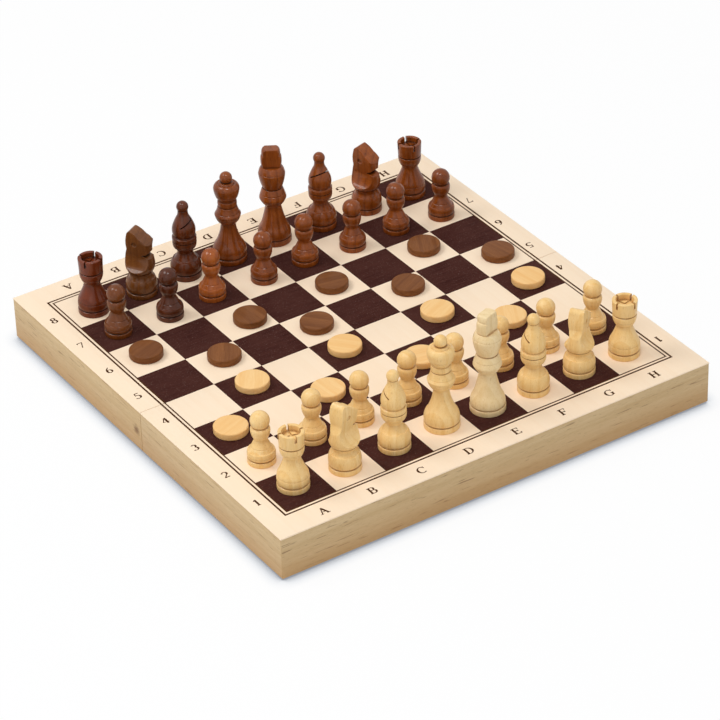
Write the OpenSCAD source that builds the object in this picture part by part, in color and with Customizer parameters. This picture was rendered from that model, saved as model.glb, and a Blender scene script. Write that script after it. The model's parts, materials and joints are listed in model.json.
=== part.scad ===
// Folding chess and draughts compendium: a two-leaf pale wood case, opened flat
// with its playing field up, and the turned men and draughts that it holds.
// Millimetres. +X runs along the files, +Y along the ranks, +Z up. The origin is
// under the middle of the fold, on the surface that the open case rests on.

/* [Playing field] */
// Side of one square
square = 40; // [36:1:44]
// Case top left bare beside the outer files
side_margin = 21; // [16:1:26]
// Case top left bare beyond the end ranks
end_margin = 25; // [20:1:32]
// Width that the saw took out of the field when the case was cut in two
saw_kerf = 2; // [0.5:0.5:3]

/* [Case] */
// Height of one leaf of the case, from its rim to the playing field
leaf_h = 33; // [29:1:40]
// Thickness of the core panel, let into the rails
core_t = 3.2; // [2.4:0.2:4]
// Thickness of the face sheet that covers the core and the rails
face_t = 0.8; // [0.5:0.1:1.2]
// Thickness of the rails
rail_t = 9; // [7:0.5:12]
// Depth that the core is let into the rails
rebate_w = 4; // [2:0.5:5]
// Radius of the case's upright corners
corner_r = 1.2; // [0.5:0.1:3]
// Gap between the two leaves at the fold when the case lies open
seam_gap = 0.4; // [0.2:0.1:0.8]
// Gap between the two rims when the case is folded shut
shut_gap = 0.2; // [0.1:0.1:0.6]

/* [Hinges] */
// Distance of each hinge from the middle of the fold
hinge_x = 105; // [80:5:130]
// Length of a hinge
hinge_l = 30; // [24:1:40]
// Radius of the knuckles
knuckle_r = 1.5; // [1.4:0.1:2]
// Radius of the hinge pin
pin_r = 0.6; // [0.5:0.05:0.7]
// Running clearance of the pin in the near leaf's knuckles
pin_clearance = 0.05; // [0.02:0.01:0.08]
// End gap between two knuckles
knuckle_gap = 0.2; // [0.1:0.05:0.4]
// Clearance around the knuckles in the wood and in the other leaf's plate
knuckle_clearance = 0.2; // [0.15:0.05:0.4]
// Thickness of a hinge plate
plate_t = 1; // [0.8:0.1:1.3]
// Reach of a hinge plate from the pin
plate_w = 7.5; // [6.5:0.5:8.5]
// Distance of each screw from the middle of its plate
screw_x = 9; // [7:0.5:11]
// Distance of the screws from the pin
screw_y = 4.8; // [4.4:0.1:5.2]
// Radius of a screw head
screw_head_r = 1.6; // [1.4:0.1:1.8]
// Radius of a screw shank
screw_shank_r = 0.8; // [0.6:0.05:1]
// Length of a screw
screw_l = 8; // [6:0.5:12]
// Width of the slot in a screw head
screw_slot_w = 0.4; // [0.3:0.1:0.6]

/* [Draughts] */
// Radius of a draught
draught_r = 12.5; // [11:0.5:14]
// Thickness of a draught
draught_t = 5.8; // [4:0.2:8]
// Rounding of a draught's edges
draught_round = 1.1; // [0.6:0.1:1.5]

/* [Turned details shared by the men] */
// Bevel around the underside of a foot
foot_bevel = 0.5; // [0.3:0.1:0.8]
// Depth of the groove above a foot
foot_groove = 1.2; // [0.7:0.1:1.6]
// Height of that groove
foot_groove_h = 1.1; // [0.7:0.1:1.4]
// Small step between two turned forms
flank_step = 0.3; // [0.2:0.1:0.5]
// Depth of the ledge where a base ends and its flank begins
base_ledge = 0.9; // [0.4:0.1:1.3]
// Depth of the grooves beside rings and collars
ring_groove = 1.1; // [0.6:0.1:1.3]

/* [Pawn] */
// Radius of the foot
pawn_foot_r = 10.1; // [9.4:0.1:11]
// Height of the foot
pawn_foot_h = 3.6; // [3:0.1:4.5]
// Height of the rounded base above the foot groove
pawn_base_h = 5.3; // [4.5:0.1:6.3]
// Height of the flank, from the base to the neck
pawn_flank_h = 8; // [7:0.5:9.5]
// Radius of the neck
pawn_neck_r = 4.8; // [4.2:0.1:5.4]
// Height of the swelling between the neck and the ball
pawn_collar_h = 9.5; // [8.5:0.5:10.5]
// Radius of that swelling
pawn_collar_r = 7; // [6.3:0.1:7.6]
// Radius of the ball
pawn_ball_r = 6.95; // [6.4:0.05:7.4]
// Height of the ball's centre above its seat
pawn_ball_rise = 4.5; // [4:0.1:5]

/* [Rook] */
// Radius of the foot
rook_foot_r = 11.5; // [10.8:0.1:12.5]
// Height of the foot
rook_foot_h = 3.9; // [3.3:0.1:4.8]
// Height of the rounded base above the foot groove
rook_base_h = 5; // [4.2:0.1:5.8]
// Height of the flank, from the base to the waist
rook_flank_h = 13.5; // [12:0.5:15]
// Radius of the waist
rook_waist_r = 6.1; // [5.5:0.1:6.8]
// Height of the flare, from the waist to the collar
rook_flare_h = 7.7; // [7:0.1:8.5]
// Radius of the collar under the crown
rook_collar_r = 8.8; // [8.2:0.1:9.4]
// Radius at the top of the crown
rook_crown_r = 9.2; // [8.8:0.1:9.8]
// Height of the crown
rook_crown_h = 10.8; // [9:0.2:13]
// Radius of the hollow in the crown
rook_well_r = 6.5; // [5.8:0.1:7.2]
// Depth of the hollow
rook_well_depth = 4.6; // [3.8:0.1:5.6]
// Rise in the middle of the hollow's floor
rook_well_rise = 0.5; // [0.2:0.1:0.9]
// Width of the slots in the crown
rook_slot_w = 1.8; // [1.4:0.1:2.4]
// Depth of the slots
rook_slot_depth = 4.8; // [4:0.2:6]

/* [Bishop] */
// Radius of the foot
bishop_foot_r = 11.6; // [10.9:0.1:12.5]
// Height of the foot
bishop_foot_h = 4.1; // [3.4:0.1:5]
// Height of the rounded base above the foot groove
bishop_base_h = 9.8; // [8.8:0.2:10.8]
// Height of the hollow flank above the base
bishop_flank_h = 4.6; // [4:0.2:5.4]
// Radius of the stem
bishop_stem_r = 5.9; // [5.3:0.1:6.5]
// Height of the stem
bishop_stem_h = 2; // [1.5:0.5:3]
// Height of the swelling above the stem
bishop_swell_h = 8.2; // [7.2:0.2:9.2]
// Radius of the ring around the head
bishop_ring_r = 9.05; // [8.6:0.05:9.6]
// Height of that ring
bishop_ring_h = 3.2; // [2.6:0.2:3.8]
// Largest radius of the mitre
bishop_mitre_r = 8.8; // [8.4:0.1:9.2]
// Height of the mitre, from the ring to its tip
bishop_mitre_h = 21.3; // [19.5:0.3:23.1]
// Radius of the mitre's tip
bishop_tip_r = 3.8; // [3.3:0.1:4.2]
// Radius of the ball
bishop_ball_r = 4.5; // [4.2:0.1:5]
// Height of the ball's centre above the mitre's tip
bishop_ball_rise = 2.9; // [2.4:0.1:3.2]
// Width of the saw cut in the mitre
bishop_cut_w = 0.9; // [0.6:0.1:1.3]
// Tilt of the saw cut
bishop_cut_tilt = 30; // [24:1:38]
// Height of the saw cut's lower end above the ring
bishop_cut_z = 9.5; // [8.5:0.5:11]
// Distance that the saw cut runs on past the middle
bishop_cut_past = 2; // [1:0.5:4]

/* [Queen] */
// Radius of the foot
queen_foot_r = 12.9; // [12.2:0.1:13.8]
// Height of the foot
queen_foot_h = 4.1; // [3.4:0.1:5]
// Height of the rounded base above the foot groove
queen_base_h = 9.8; // [8.8:0.2:10.8]
// Height of the long flank, from the base to the neck
queen_flank_h = 16; // [14:0.5:18]
// Radius of the neck
queen_neck_r = 5.5; // [5:0.1:6]
// Height of the bell above the neck
queen_bell_h = 7.3; // [6.5:0.1:8.1]
// Largest radius of the bell
queen_bell_r = 9.8; // [9.2:0.1:10.4]
// Height of the taper above the bell
queen_taper_h = 7.4; // [6.5:0.1:8.5]
// Radius of the throat under the crown
queen_throat_r = 7; // [6.4:0.1:7.6]
// Height of the bead in the throat
queen_bead_h = 4.4; // [3.8:0.2:5.2]
// Radius at the crown's rim
queen_crown_r = 9.7; // [9.2:0.1:10.2]
// Height of the crown, from the bead to its shoulder
queen_crown_h = 13.6; // [12.2:0.2:15]
// Radius of the ledge inside the shoulder
queen_ledge_r = 6; // [5.4:0.1:6.6]
// Radius of the ball
queen_ball_r = 4.75; // [4.3:0.05:5.2]
// Height of the ball's centre above its seat
queen_ball_rise = 3.3; // [2.9:0.1:3.7]

/* [King] */
// Radius of the foot
king_foot_r = 12.9; // [12.2:0.1:13.8]
// Height of the foot
king_foot_h = 4.1; // [3.4:0.1:5]
// Height of the rounded base above the foot groove
king_base_h = 8.8; // [7.8:0.2:9.8]
// Height of the long flank, from the base to the neck
king_flank_h = 16; // [14:0.5:18]
// Radius of the neck
king_neck_r = 6; // [5.4:0.1:6.6]
// Height of the bell above the neck
king_bell_h = 7; // [6:0.5:8]
// Largest radius of the bell
king_bell_r = 10.2; // [9.6:0.1:10.8]
// Height of the taper above the bell
king_taper_h = 8.8; // [7.8:0.2:9.8]
// Radius of the throat under the crown
king_throat_r = 7.2; // [6.6:0.1:7.8]
// Height of the crown, from the throat to its shoulder
king_crown_h = 17.5; // [16:0.5:19]
// Radius at the crown's rim
king_crown_r = 10.1; // [9.6:0.1:10.6]
// Radius at the crown's shoulder
king_shoulder_r = 7.6; // [7:0.1:8.2]
// Height of the finial
king_finial_h = 15; // [13:0.5:17]
// Largest radius of the finial
king_finial_r = 8; // [7.4:0.1:8.6]
// Thickness of the finial between its two sawn faces
king_finial_t = 8.4; // [7:0.2:10]

/* [Knight] */
// Radius of the foot
knight_foot_r = 11.6; // [10.9:0.1:12.5]
// Height of the foot
knight_foot_h = 3.9; // [3.3:0.1:4.8]
// Height of the rounded base above the foot groove
knight_base_h = 9; // [8:0.2:10]
// Height of the hollow between the base and the head
knight_cove_h = 6.2; // [5.2:0.2:7.2]
// Radius of that hollow at its narrowest
knight_cove_r = 8.7; // [8:0.1:9.4]
// Radius of the turned blank that the head is cut from
knight_blank_r = 11.1; // [10.4:0.1:11.6]
// Height of the knight
knight_h = 55.5; // [52:0.5:59]
// Thickness of the head between its two sawn faces
knight_head_t = 11.4; // [10:0.2:13]
// Thickness of the neck, where the sawn faces hollow before they run out
knight_neck_t = 9.4; // [8:0.2:11]
// Height at which the sawn faces run out
knight_flat_z = 22; // [21.6:0.2:24]
// Height of that run-out
knight_runout_h = 10; // [8:0.5:12]
// Diameter of the drilled eye
knight_eye_d = 3.8; // [3:0.1:4.6]
// Depth of the drilled eye
knight_eye_depth = 1; // [0.6:0.1:1.6]

/* [Hidden] */
$fn = 64;

DARK = "#6b3a1c";
LIGHT = "#dfbb7e";
CASE = "#d2b283";
FACE = "#f4dfbf";
METAL = "#c9a45a";

// Positions along X and Y that follow from the field
field_w = 8 * square;
leaf_w = field_w + 2 * side_margin;
leaf_d = 4 * square - saw_kerf / 2 + end_margin;
first_y = seam_gap / 2;

// Heights: the open case stands on its knuckles
axis_z = knuckle_r;
rim_z = axis_z + shut_gap / 2;
top_z = rim_z + leaf_h;
wood_top_z = top_z - face_t;
core_z = wood_top_z - core_t;

// Where the men stand, as small shifts from the middles of their squares
DARK_BACK_SHIFT = [[-0.5, -5], [0.5, -5], [0, -3], [-1.5, -2.5], [0, 0.5], [-0.5, -3.5], [0.5, -4], [0, -5]];
DARK_PAWN_SHIFT = [[-1, -1.5], [1, -4.5], [0, 0], [3.5, -2.5], [1.5, 0.5], [1.5, -3.5], [1.5, -2.5], [0.5, -6]];
LIGHT_PAWN_SHIFT = [[-2.5, -0.5], [0.5, 1.5], [-0.5, 0.5], [0.5, 2], [0, 1], [-1.5, 0], [-1.5, -0.5], [0, -0.5]];
LIGHT_BACK_SHIFT = [[-1, 1.5], [-0.5, -1], [1, 0], [2.5, 2.5], [0.5, 1], [-0.5, 0.5], [-0.5, 0.5], [-1, 0]];
DARK_DRAUGHT_SHIFT = [[0, 1], [3.5, 4.5], [5, -4], [0, 0.5], [-1.5, -0.5], [2.5, 4], [2.5, 2], [2.5, 2.5]];
LIGHT_DRAUGHT_SHIFT = [[-1, 2], [1.5, 1.5], [-0.5, 1.5], [0, 1.5], [-3.5, -2.5], [0, 0.5], [-2, 3], [-0.5, -2]];

// The way each man of the back rows faces, in degrees from +X
DARK_BACK_TURN = [35, -60, -32, 0, -32, -80, -73, -10];
LIGHT_BACK_TURN = [-12, 18, 108, 0, 18, 108, 34, 14];

FILES = ["a", "b", "c", "d", "e", "f", "g", "h"];
BACK = ["rook", "knight", "bishop", "queen", "king", "bishop", "knight", "rook"];

// Each man: its node name, kind, file 0 to 7, rank 1 to 8, shift, turn and wood
function man(wood, kind, file, rank, shift, turn) =
    [str(wood, "_", kind, "_", FILES[file], rank), kind, file, rank, shift, turn, wood];
DARK_MEN = [
    for (f = [0:7]) man("dark", BACK[f], f, 8, DARK_BACK_SHIFT[f], DARK_BACK_TURN[f]),
    for (f = [0:7]) man("dark", "pawn", f, 7, DARK_PAWN_SHIFT[f], 0),
    for (f = [0:7]) man("dark", "draught", f, 6 - f % 2, DARK_DRAUGHT_SHIFT[f], 0)
];
LIGHT_MEN = [
    for (f = [0:7]) man("light", BACK[f], f, 1, LIGHT_BACK_SHIFT[f], LIGHT_BACK_TURN[f]),
    for (f = [0:7]) man("light", "pawn", f, 2, LIGHT_PAWN_SHIFT[f], 0),
    for (f = [0:7]) man("light", "draught", f, 3 + f % 2, LIGHT_DRAUGHT_SHIFT[f], 0)
];
MEN = concat(DARK_MEN, LIGHT_MEN);

// ---- outline helpers ------------------------------------------------------

// Points from p to q along a shallow curve that swells s to the right of the way
function bow(p, q, s, n = 5) =
    let (d = q - p, side = [d.y, -d.x] / norm(d), mid = (p + q) / 2 + 2 * s * side)
    [for (i = [1:n]) let (t = i / n) (1 - t) * (1 - t) * p + 2 * t * (1 - t) * mid + t * t * q];

// A turned outline: each leg is [radius at its end, height that it climbs, swell]
function climb(p, legs, i = 0) =
    i == len(legs) ? [] :
    let (q = [legs[i][0], p.y + legs[i][1]])
    concat(legs[i][2] == 0 ? [q] : bow(p, q, legs[i][2]), climb(q, legs, i + 1));
function turned(start_r, legs) = concat([[0, 0], [start_r, 0]], climb([start_r, 0], legs));
function top_of(points) = points[len(points) - 1].y;

// Foot with its groove, and the rounded base above it
function foot(r, h, base_h, base_top_r, base_swell) = [
    [r, foot_bevel, 0],
    [r, h - foot_bevel, 0],
    [r - foot_groove, foot_groove_h / 2, 0],
    [r - foot_groove, foot_groove_h / 2, 0],
    [r - flank_step, flank_step, 0],
    [base_top_r, base_h, base_swell],
];

module spin(points) {
    rotate_extrude() polygon(concat(points, [[0, top_of(points)]]));
}

module ball(r, z) {
    translate([0, 0, z]) sphere(r);
}

// ---- the men --------------------------------------------------------------

module pawn() {
    legs = concat(
        foot(pawn_foot_r, pawn_foot_h, pawn_base_h, pawn_foot_r - 2 * flank_step, 0.45),
        [[pawn_foot_r - 2 * flank_step - base_ledge, 0, 0],
         [pawn_neck_r, pawn_flank_h, -0.1],
         [pawn_neck_r, 1, 0],
         [pawn_collar_r, pawn_collar_h * 0.72, 0.5],
         [pawn_collar_r - 2 * flank_step, pawn_collar_h * 0.28, 0.25],
         [pawn_collar_r - 2 * flank_step - ring_groove, flank_step * 2, 0]]
    );
    points = turned(pawn_foot_r - foot_bevel, legs);
    spin(points);
    ball(pawn_ball_r, top_of(points) + pawn_ball_rise);
}

module rook() {
    legs = concat(
        foot(rook_foot_r, rook_foot_h, rook_base_h, rook_foot_r - flank_step, 0.3),
        [[rook_foot_r - 5 * flank_step, rook_flank_h * 0.3, 0.25],
         [rook_waist_r, rook_flank_h * 0.7, -0.25],
         [rook_waist_r, 2.5, 0],
         [rook_waist_r + 2 * flank_step, 0, 0],
         [rook_collar_r, rook_flare_h - 1, 0.5],
         [rook_collar_r, 1, 0],
         [rook_collar_r - ring_groove, flank_step * 2, 0],
         [rook_collar_r, flank_step * 2, 0],
         [rook_crown_r, rook_crown_h - flank_step, 0],
         [rook_crown_r - flank_step, flank_step, 0]]
    );
    points = turned(rook_foot_r - foot_bevel, legs);
    top = top_of(points);
    difference() {
        spin(points);
        rotate_extrude() polygon(concat(
            [[0, top - rook_well_depth + rook_well_rise]],
            bow([0, top - rook_well_depth + rook_well_rise], [rook_well_r, top - rook_well_depth], -0.2),
            [[rook_well_r, top + 1], [0, top + 1]]
        ));
        for (a = [0, 90])
            rotate([0, 0, a]) translate([-rook_foot_r, -rook_slot_w / 2, top - rook_slot_depth])
                cube([2 * rook_foot_r, rook_slot_w, rook_slot_depth + 1]);
    }
}

module bishop() {
    legs = concat(
        foot(bishop_foot_r, bishop_foot_h, bishop_base_h, bishop_foot_r - 7 * flank_step, 1.1),
        [[bishop_foot_r - 7 * flank_step - base_ledge, 0, 0],
         [bishop_stem_r, bishop_flank_h + flank_step, -0.3],
         [bishop_stem_r, bishop_stem_h, 0],
         [bishop_ring_r - 3 * flank_step, bishop_swell_h * 0.36, -0.25],
         [bishop_ring_r, bishop_swell_h * 0.44, 0.25],
         [bishop_ring_r, bishop_swell_h * 0.2, 0.05],
         [bishop_ring_r - ring_groove, flank_step, 0],
         [bishop_ring_r, flank_step, 0],
         [bishop_ring_r, bishop_ring_h, 0.1],
         [bishop_ring_r - ring_groove - flank_step, flank_step * 2, 0],
         [bishop_mitre_r, bishop_mitre_h * 0.22, 0.3],
         [bishop_mitre_r - 4 * flank_step, bishop_mitre_h * 0.26, 0.3],
         [bishop_tip_r + 2 * flank_step, bishop_mitre_h * 0.32, 0.15],
         [bishop_tip_r, bishop_mitre_h * 0.2, -0.2]]
    );
    points = turned(bishop_foot_r - foot_bevel, legs);
    top = top_of(points);
    ring_top = top - bishop_mitre_h - 2 * flank_step;
    difference() {
        spin(points);
        // The cut runs in from the +X side and rises towards it
        translate([-bishop_cut_past, 0, ring_top + bishop_cut_z])
            rotate([0, -bishop_cut_tilt, 0])
                translate([0, -bishop_foot_r, 0])
                    cube([bishop_mitre_h + bishop_foot_r, 2 * bishop_foot_r, bishop_cut_w]);
    }
    ball(bishop_ball_r, top + bishop_ball_rise);
}

module queen() {
    legs = concat(
        foot(queen_foot_r, queen_foot_h, queen_base_h, queen_foot_r - 7 * flank_step, 0.9),
        [[queen_foot_r - 7 * flank_step - base_ledge, 0, 0],
         [queen_neck_r, queen_flank_h, -0.7],
         [queen_bell_r, queen_bell_h, 0.8],
         [queen_bell_r, 1, 0.1],
         [queen_bell_r - flank_step, flank_step, 0],
         [queen_throat_r + flank_step, queen_taper_h - 4 * flank_step, -0.25],
         [queen_throat_r - 2 * flank_step, flank_step, 0],
         [queen_throat_r, flank_step, 0],
         [queen_throat_r, queen_bead_h, 0.3],
         [queen_throat_r - 2 * flank_step, flank_step, 0],
         [queen_throat_r + flank_step, queen_crown_h * 0.15, -0.1],
         [queen_throat_r + 4 * flank_step, 3 * flank_step, 0],
         [queen_crown_r, queen_crown_h * 0.42, 0.2],
         [queen_crown_r, queen_crown_h * 0.15, 0.1],
         [queen_ledge_r + 4 * flank_step, queen_crown_h * 0.24, 0.5],
         [queen_ledge_r, -flank_step, 0],
         [queen_ledge_r - 2 * flank_step, 4 * flank_step, 0],
         [queen_ball_r - 2 * flank_step, flank_step, 0]]
    );
    points = turned(queen_foot_r - foot_bevel, legs);
    spin(points);
    ball(queen_ball_r, top_of(points) + queen_ball_rise);
}

// Outline of the king's finial, from its shoulder to its top
function finial_points(z) = let (r = king_finial_r, h = king_finial_h) concat(
    [[0, z - 1], [king_shoulder_r - flank_step, z - 1]],
    [[king_shoulder_r - flank_step, z]],
    bow([king_shoulder_r - flank_step, z], [r, z + 0.37 * h], 0.2),
    bow([r, z + 0.37 * h], [r - flank_step, z + 0.6 * h], 0.1),
    [[r - 4 * flank_step, z + 0.66 * h]],
    bow([r - 4 * flank_step, z + 0.66 * h], [r - 3 * flank_step, z + 0.8 * h], 0.2),
    bow([r - 3 * flank_step, z + 0.8 * h], [r - 5 * flank_step, z + h - 0.5], 0.15),
    [[r - 7 * flank_step, z + h], [0, z + h]]
);

module king() {
    legs = concat(
        foot(king_foot_r, king_foot_h, king_base_h, king_foot_r - 8 * flank_step, 0.65),
        [[king_foot_r - 8 * flank_step - base_ledge, 0, 0],
         [king_neck_r, king_flank_h, 0],
         [king_neck_r + flank_step, 1, 0],
         [king_bell_r, king_bell_h - 1, 0.35],
         [king_bell_r, 1, 0.05],
         [king_throat_r + 2 * flank_step, king_taper_h - 4 * flank_step, 0.1],
         [king_throat_r - flank_step, flank_step, 0],
         [king_throat_r + flank_step, 2 * flank_step, 0],
         [king_crown_r, king_crown_h * 0.6, 0.35],
         [king_crown_r - flank_step, king_crown_h * 0.15, 0.15],
         [king_shoulder_r, king_crown_h * 0.25, 0.35]]
    );
    points = turned(king_foot_r - foot_bevel, legs);
    top = top_of(points);
    spin(points);
    intersection() {
        rotate_extrude() polygon(finial_points(top));
        translate([-king_foot_r, -king_finial_t / 2, top - 1])
            cube([2 * king_foot_r, king_finial_t, king_finial_h + 2]);
    }
}

// Side view of a knight's head: +X is the way that it faces
function head_points() = let (r = knight_blank_r + 1, h = knight_h) concat(
    [[-r, knight_flat_z], [-r, h - 27]],
    bow([-r, h - 27], [-6.9, h - 16], -0.9),
    bow([-6.9, h - 16], [-5.5, h - 2.6], 0.3),
    [[-4.6, h - 0.5], [-3.4, h], [-2, h - 0.6]],
    bow([-2, h - 0.6], [3.4, h - 5.6], -0.2),
    [[4.2, h - 5.6]],
    bow([4.2, h - 5.6], [7.8, h - 8.6], 0.25),
    [[8.4, h - 8.6]],
    bow([8.4, h - 8.6], [10.4, h - 12.5], 0.5),
    bow([10.4, h - 12.5], [9.6, h - 17.6], 0.3),
    bow([9.6, h - 17.6], [2.8, h - 20.8], -0.4),
    bow([2.8, h - 20.8], [r, h - 24], -1),
    [[r, knight_flat_z]]
);

// Half of its front view: the sawn face hollows at the neck and then runs out
function cheek_points() = let (r = knight_blank_r + 1, n = knight_neck_t / 2, t = knight_head_t / 2) concat(
    [[0, knight_flat_z], [r, knight_flat_z]],
    bow([r, knight_flat_z], [n, knight_flat_z + knight_runout_h], -2.1),
    bow([n, knight_flat_z + knight_runout_h], [t, knight_h - 10], 0.1),
    [[t, knight_h - 6], [t - 2 * flank_step, knight_h + 1], [0, knight_h + 1]]
);

module knight() {
    legs = concat(
        foot(knight_foot_r, knight_foot_h, knight_base_h, knight_foot_r - 4 * flank_step, 0.7),
        [[knight_foot_r - 5 * flank_step - base_ledge / 2, 0, 0],
         [knight_cove_r, knight_cove_h * 0.5, -0.25],
         [knight_cove_r + 2 * flank_step, knight_cove_h * 0.45, -0.15],
         [knight_cove_r, knight_cove_h * 0.05, 0],
         [knight_cove_r + 3 * flank_step, flank_step, 0],
         [knight_blank_r, 5.2, 0.35],
         [knight_blank_r, knight_h - 25, 0]]
    );
    points = turned(knight_foot_r - foot_bevel, legs);
    difference() {
        intersection() {
            spin(points);
            union() {
                cylinder(r = knight_foot_r + 1, h = knight_flat_z);
                intersection() {
                    translate([0, knight_foot_r, 0]) rotate([90, 0, 0])
                        linear_extrude(2 * knight_foot_r) polygon(head_points());
                    for (side = [0, 1]) mirror([0, side, 0])
                        translate([-knight_foot_r, 0, 0]) rotate([90, 0, 90])
                            linear_extrude(2 * knight_foot_r) polygon(cheek_points());
                }
            }
        }
        for (s = [-1, 1])
            translate([-1, s * knight_head_t / 2, knight_h - 11.5]) rotate([90, 0, 0])
                cylinder(d = knight_eye_d, h = 2 * knight_eye_depth, center = true);
    }
}

module draught() {
    r = draught_r - draught_round;
    t = draught_t;
    rotate_extrude() {
        square([r, t]);
        translate([0, draught_round]) square([draught_r, t - 2 * draught_round]);
        for (z = [draught_round, t - draught_round]) translate([r, z]) circle(draught_round);
    }
}

// Middle of a square: each leaf lost half of the saw's width at the fold
function square_x(file) = (file - 3.5) * square;
function square_y(rank) =
    let (half = rank > 4 ? -saw_kerf / 2 : saw_kerf / 2) (rank - 4.5) * square + half;

module placed(m) {
    translate([square_x(m[2]) + m[4].x, square_y(m[3]) + m[4].y, top_z]) rotate([0, 0, m[5]]) {
        if (m[1] == "pawn") pawn();
        if (m[1] == "rook") rook();
        if (m[1] == "knight") knight();
        if (m[1] == "bishop") bishop();
        if (m[1] == "queen") queen();
        if (m[1] == "king") king();
        if (m[1] == "draught") draught();
    }
}

// ---- the case -------------------------------------------------------------
// Each piece is drawn for the far leaf. The near leaf is its mirror image, apart
// from the hinge knuckles, which alternate.

module far_or_near(near) {
    mirror([0, near ? 1 : 0, 0]) children();
}

// Plan of a leaf, inset all round, with rounded outer corners
module leaf_plan(inset = 0) {
    r = corner_r;
    x = leaf_w / 2 - inset;
    y0 = first_y + inset;
    y1 = leaf_d - inset;
    translate([-x, y0]) square([2 * x, y1 - y0 - r]);
    translate([-x + r, y1 - r]) square([2 * (x - r), r]);
    for (s = [-1, 1]) translate([s * (x - r), y1 - r]) circle(r);
}

// Face sheet over a core that is let into the rails
module panel() {
    translate([0, 0, wood_top_z]) linear_extrude(face_t) leaf_plan();
    x = leaf_w / 2 - rail_t + rebate_w;
    y0 = first_y + rail_t - rebate_w;
    y1 = leaf_d - rail_t + rebate_w;
    translate([-x, y0, core_z]) cube([2 * x, y1 - y0, core_t]);
}

// The frame of rails as one ring, before it is parted at the mitres
module rail_ring() {
    x = leaf_w / 2 - rail_t;
    y0 = first_y + rail_t;
    y1 = leaf_d - rail_t;
    difference() {
        translate([0, 0, rim_z]) linear_extrude(wood_top_z - rim_z) leaf_plan();
        translate([-x, y0, rim_z - 1]) cube([2 * x, y1 - y0, leaf_h + 2]);
        translate([-x - rebate_w, y0 - rebate_w, core_z])
            cube([2 * (x + rebate_w), y1 - y0 + 2 * rebate_w, leaf_h]);
    }
}

// Plan of the zone that belongs to the two side rails: outside the four mitres
module side_zone() {
    x = leaf_w / 2;
    y0 = first_y;
    y1 = leaf_d;
    reach = 2 * rail_t;
    for (s = [-1, 1])
        polygon([[s * x, y0], [s * (x - reach), y0 + reach], [s * (x - reach), y1 - reach], [s * x, y1],
                 [s * (x + reach), y1 + reach], [s * (x + reach), y0 - reach]]);
}

module side_rails() {
    intersection() {
        rail_ring();
        linear_extrude(top_z + 1) side_zone();
    }
}

// Screw of a hinge, head down, its head flush with the rim
module screw(grow = 0) {
    cone_h = screw_head_r - screw_shank_r;
    rotate_extrude() polygon([
        [0, 0],
        [screw_head_r + grow, 0],
        [screw_shank_r + grow, cone_h],
        [screw_shank_r + grow, screw_l - cone_h],
        [0, screw_l + 2 * grow]
    ]);
}

module at_screws() {
    for (s = [-1, 1], t = [-1, 1])
        translate([s * hinge_x + t * screw_x, screw_y, rim_z]) children();
}

module long_rails() {
    difference() {
        rail_ring();
        linear_extrude(top_z + 1) side_zone();
        // Seats for the hinges
        for (s = [-1, 1]) translate([s * hinge_x - hinge_l / 2, 0, 0]) {
            translate([0, 0, rim_z - 1]) cube([hinge_l, plate_w, plate_t + 1]);
            translate([0, 0, axis_z]) rotate([0, 90, 0])
                cylinder(r = knuckle_r + knuckle_clearance, h = hinge_l);
        }
        at_screws() screw();
    }
}

// Knuckles 1, 3 and 5 belong to the far plates, and 2 and 4 to the near ones
knuckle_count = 5;
knuckle_pitch = hinge_l / knuckle_count;
module at_knuckles(near) {
    for (s = [-1, 1], k = [near ? 1 : 0 : 2 : knuckle_count - 1])
        translate([s * hinge_x - hinge_l / 2 + k * knuckle_pitch, 0, 0]) children();
}

module hinge_leaves(near) {
    l = knuckle_pitch - knuckle_gap;
    plate_y = knuckle_r + knuckle_clearance;
    difference() {
        union() {
            for (s = [-1, 1]) translate([s * hinge_x - hinge_l / 2 + knuckle_gap / 2, plate_y, rim_z])
                cube([hinge_l - knuckle_gap, plate_w - plate_y, plate_t]);
            at_knuckles(near) translate([knuckle_gap / 2, 0, 0]) {
                translate([0, 0, axis_z]) rotate([0, 90, 0]) cylinder(r = knuckle_r, h = l);
                translate([0, 0, rim_z]) cube([l, plate_y + 1, plate_t]);
            }
        }
        for (s = [-1, 1]) translate([s * hinge_x - hinge_l, 0, axis_z]) rotate([0, 90, 0])
            cylinder(r = pin_r + (near ? pin_clearance : 0), h = 2 * hinge_l);
        at_screws() screw();
    }
}

module pins() {
    for (s = [-1, 1]) translate([s * hinge_x - hinge_l / 2 + knuckle_gap / 2, 0, axis_z]) rotate([0, 90, 0])
        cylinder(r = pin_r, h = hinge_l - knuckle_gap);
}

module screws() {
    at_screws() difference() {
        screw();
        translate([-screw_head_r - 1, -screw_slot_w / 2, -1])
            cube([2 * screw_head_r + 2, screw_slot_w, 1 + screw_slot_w]);
    }
}

// ---- the nodes ------------------------------------------------------------

module far_panel() { color(FACE) panel(); }
module near_panel() { color(FACE) far_or_near(true) panel(); }
module far_long_rails() { color(CASE) long_rails(); }
module far_side_rails() { color(CASE) side_rails(); }
module near_long_rails() { color(CASE) far_or_near(true) long_rails(); }
module near_side_rails() { color(CASE) far_or_near(true) side_rails(); }
module far_hinge_leaves() { color(METAL) hinge_leaves(false); }
module near_hinge_leaves() { color(METAL) far_or_near(true) hinge_leaves(true); }
module hinge_pins() { color(METAL) pins(); }
module far_hinge_screws() { color(METAL) screws(); }
module near_hinge_screws() { color(METAL) far_or_near(true) screws(); }
module man_or_draught(m) { color(m[6] == "dark" ? DARK : LIGHT) placed(m); }

far_panel();
near_panel();
far_long_rails();
far_side_rails();
near_long_rails();
near_side_rails();
far_hinge_leaves();
near_hinge_leaves();
hinge_pins();
far_hinge_screws();
near_hinge_screws();
for (m = MEN) man_or_draught(m);
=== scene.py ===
import json
import math

import bmesh
import bpy
from mathutils import Matrix, Vector

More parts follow.
